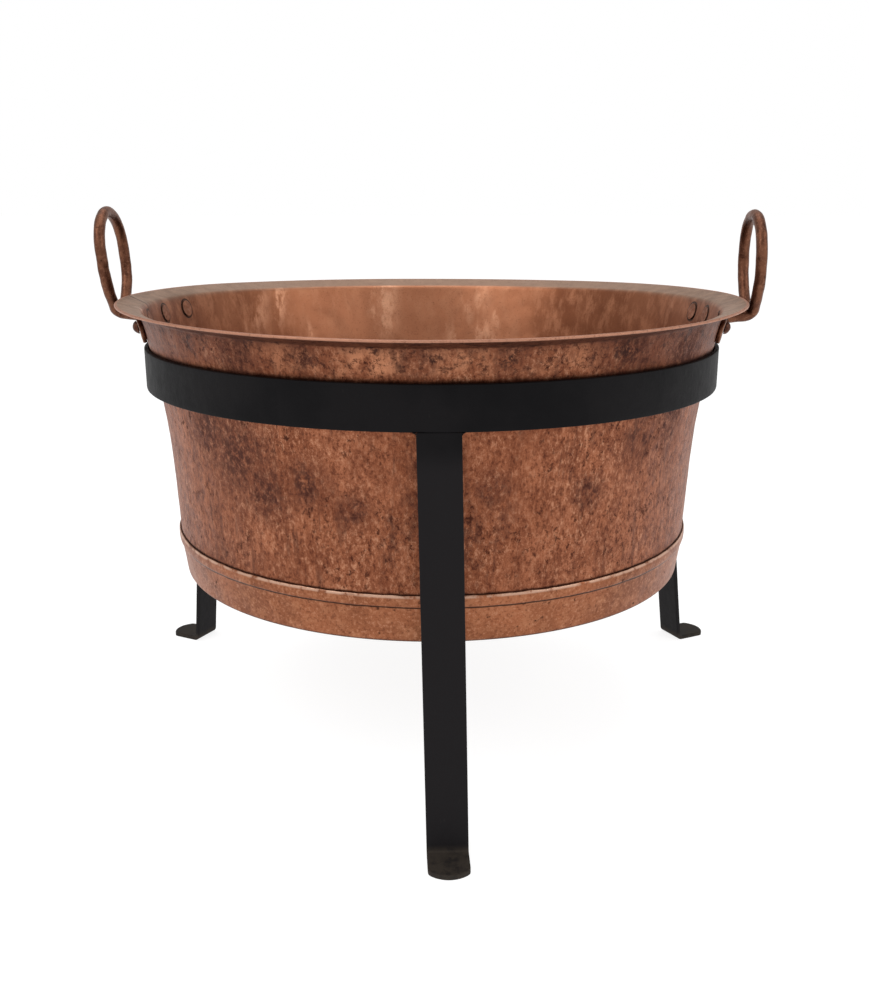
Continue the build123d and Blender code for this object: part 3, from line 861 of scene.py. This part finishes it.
def make_leg(name):
    """A leg's flat bar: straight down from the hoop, bent, and rounded at the foot's end."""
    azimuth, bend, foot, top_shift = LEGS[name]
    a = math.radians(azimuth)
    outward = Vector((math.cos(a), math.sin(a), 0))
    sideways = Vector((math.sin(a), -math.cos(a), 0))
    top, corner = Vector((HOOP_RADIUS, HOOP_BOTTOM)), Vector((bend, BAR))
    down = (corner - top).normalized()
    turn = math.pi / 2 - math.atan2(bend - HOOP_RADIUS, HOOP_BOTTOM - BAR)
    tangent = FOOT_BEND_FILLET * math.tan(turn / 2)
    straight = (corner - top).length - tangent
    bent = FOOT_BEND_FILLET * turn
    length = straight + bent + foot - tangent
    arc_start = corner - down * tangent
    arc_middle = Vector((bend + tangent, BAR + FOOT_BEND_FILLET))

    def skin(s):
        """Point on the outer face in the side plane, and the way out of it."""
        if s <= straight:
            return top + down * s, Vector((-down.y, down.x))
        if s <= straight + bent:
            swept = (s - straight) / FOOT_BEND_FILLET
            first = arc_start - arc_middle
            c, d = math.cos(swept), math.sin(swept)
            spoke = Vector((first.x * c - first.y * d, first.x * d + first.y * c))
            return arc_middle + spoke, -spoke.normalized()
        run = s - straight - bent
        return Vector((bend + tangent + run, BAR)), Vector((0, 1))

    def half_width(s):
        share = max(0.0, 1 - s / straight)
        plain = (LEG_FLOOR_WIDTH + (LEG_TOP_WIDTH - LEG_FLOOR_WIDTH) * share) / 2
        past = s - (length - FOOT_END_RADIUS)
        if past <= 0:
            return plain
        # the straight sides run into the round end with small rounded corners
        round_end = math.sqrt(max(FOOT_END_RADIUS**2 - past**2, 1e-9))
        sharpness = 24
        return (plain**-sharpness + round_end**-sharpness) ** (-1 / sharpness)

    def inside_ends(s, w):
        past = s - (length - FOOT_END_RADIUS)
        from_tip = FOOT_END_RADIUS - np.hypot(np.maximum(past, 0), w * (past > 0))
        return np.minimum(np.where(past > 0, from_tip, 1.0), s + 0.0004)

    def place(s, w, t):
        point, out = skin(s)
        point = point + out * (t - BAR / 2)
        shift = top_shift * max(0.0, point.y / HOOP_BOTTOM)
        return outward * point.x + sideways * (w + shift) + Vector((0, 0, point.y))

    tip_zone = FOOT_END_RADIUS - math.sqrt(FOOT_END_RADIUS**2 - (LEG_FLOOR_WIDTH / 2) ** 2)
    around = [length - FOOT_END_RADIUS + FOOT_END_RADIUS * math.cos(b)
              for b in np.linspace(math.asin(LEG_FLOOR_WIDTH / 2 / FOOT_END_RADIUS), 0.02, 16)]
    along = np.concatenate([
        [0, 0.0002, 0.0006],
        np.linspace(0.0012, straight, 110),
        straight + bent * np.linspace(0, 1, 12)[1:],
        np.linspace(straight + bent, length - tip_zone - 0.001, 9)[1:],
        around,
    ])
    leg = slab(name + "_bar", along, half_width, BAR, 0.0008, place, spacing=0.003,
               wave=0.0003, seed=azimuth, end=inside_ends)
    return settle(leg, name, IRON)


make_hoop()
for leg_name in LEGS:
    make_leg(leg_name)
settle(forged_copy("weld_beads", "leg_welds", 0.0004, 3, 0.0002, 0.002),
       "leg_welds", IRON)


# --- Fire grate ----------------------------------------------------------------------------
def straight_bar(name, node, seed, edge=0.0012, wave=0.0005):
    """A straight bar that fills the box of its CAD node."""
    low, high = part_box(node)
    size, middle = high - low, (low + high) / 2
    order = sorted(range(3), key=lambda axis: -size[axis])
    long_axis, wide_axis, thin_axis = order
    if abs(size[wide_axis] - size[thin_axis]) < 1e-4 and thin_axis != 2 and long_axis != 2:
        wide_axis, thin_axis = thin_axis, wide_axis
    length = size[long_axis]

    def place(s, w, t):
        point = middle.copy()
        point[long_axis] += s - length / 2
        point[wide_axis] += w
        point[thin_axis] += t
        return point

    bar = slab(name, stations(length, edge, 0.006), lambda s: size[wide_axis] / 2,
               size[thin_axis], edge, place, spacing=0.0025, wave=wave, seed=seed)
    return settle(bar, node, SCALE)


def make_grate_ring():
    """The flat-bar ring that carries the fire bars."""
    middle_radius = GRATE_RADIUS - GRATE_FLAT / 2
    middle_height = (ring_low.z + ring_high.z) / 2
    along = np.arange(300) / 300 * 2 * math.pi * middle_radius

    def place(s, w, t):
        a = s / middle_radius
        radius = middle_radius + t
        return radius * math.cos(a), radius * math.sin(a), middle_height + w

    ring = slab("grate_hoop", along, lambda s: (ring_high.z - ring_low.z) / 2, GRATE_FLAT,
                0.0009, place, spacing=0.003, wave=0.0004, seed=8.0, closed=True)
    return settle(ring, "grate_ring", SCALE)


make_grate_ring()
for number in range(1, FIRE_BAR_COUNT + 1):
    straight_bar(f"fire_bar_{number}", f"grate_bar_{number}", 3.0 * number)
for number in range(1, 3):
    straight_bar(f"cross_bar_{number}", f"grate_cross_bar_{number}", 50.0 + number,
                 edge=0.0009, wave=0.0003)
for number in range(1, 5):
    settle(forged_copy(f"foot_{number}", f"grate_foot_{number}", 0.0009, 3, 0.0003, 0.006),
           f"grate_foot_{number}", SCALE)


# --- Studio --------------------------------------------------------------------------------
def make_floor():
    """A wide pale floor."""
    size = 30.0
    mesh = bpy.data.meshes.new("floor")
    mesh.from_pydata([(-size, -size, 0), (size, -size, 0), (size, size, 0), (-size, size, 0)], [],
                     [(0, 1, 2, 3)])
    floor = bpy.data.objects.new("floor", mesh)
    bpy.context.scene.collection.objects.link(floor)
    p = Paint("pale_floor", Base_Color=(0.3, 0.3, 0.3, 1), Roughness=0.9,
              Specular_IOR_Level=0.0, Emission_Color=(1, 1, 1, 1), Emission_Strength=0.85)
    mesh.materials.append(p.material)


def area_light(name, place, target, size, power):
    """A soft square lamp that faces the target."""
    light = bpy.data.lights.new(name, "AREA")
    light.shape, light.size, light.size_y, light.energy = "RECTANGLE", size, size, power
    lamp = bpy.data.objects.new(name, light)
    lamp.location = place
    aim = Vector(target) - Vector(place)
    lamp.rotation_euler = aim.to_track_quat("-Z", "Y").to_euler()
    bpy.context.scene.collection.objects.link(lamp)


def make_studio():
    """Pale surroundings, three soft lamps and the camera."""
    make_floor()
    world = bpy.data.worlds.new("studio")
    world.use_nodes = True
    back = world.node_tree.nodes["Background"]
    back.inputs["Strength"].default_value = 1.0
    # white round the horizon, dimmer overhead
    links, new = world.node_tree.links, world.node_tree.nodes.new
    height = new("ShaderNodeSeparateXYZ")
    links.new(new("ShaderNodeTexCoord").outputs["Generated"], height.inputs[0])
    dim = new("ShaderNodeMapRange")
    dim.interpolation_type = "SMOOTHSTEP"
    for socket, value in zip(dim.inputs[1:5], (0.25, 0.60, 1.0, 0.55)):
        socket.default_value = value
    links.new(height.outputs[2], dim.inputs[0])
    links.new(dim.outputs[0], back.inputs["Color"])
    bpy.context.scene.world = world
    target = (0, 0, 0.3)
    area_light("key_left", (-1.8, -1.6, 2.4), target, 1.6, 28)
    area_light("fill_right", (2.2, -1.2, 1.8), target, 1.4, 14)
    area_light("top", (0, 0.4, 2.8), target, 2.2, 30)
    camera = bpy.data.cameras.new("camera")
    camera.lens, camera.sensor_width = CAMERA_LENS, 36.0
    eye = bpy.data.objects.new("camera", camera)
    eye.location = CAMERA_PLACE
    eye.rotation_euler = (math.pi / 2 - CAMERA_DIP, 0, 0)
    bpy.context.scene.collection.objects.link(eye)
    bpy.context.scene.camera = eye
    bpy.context.scene.view_settings.view_transform = "Standard"


make_studio()
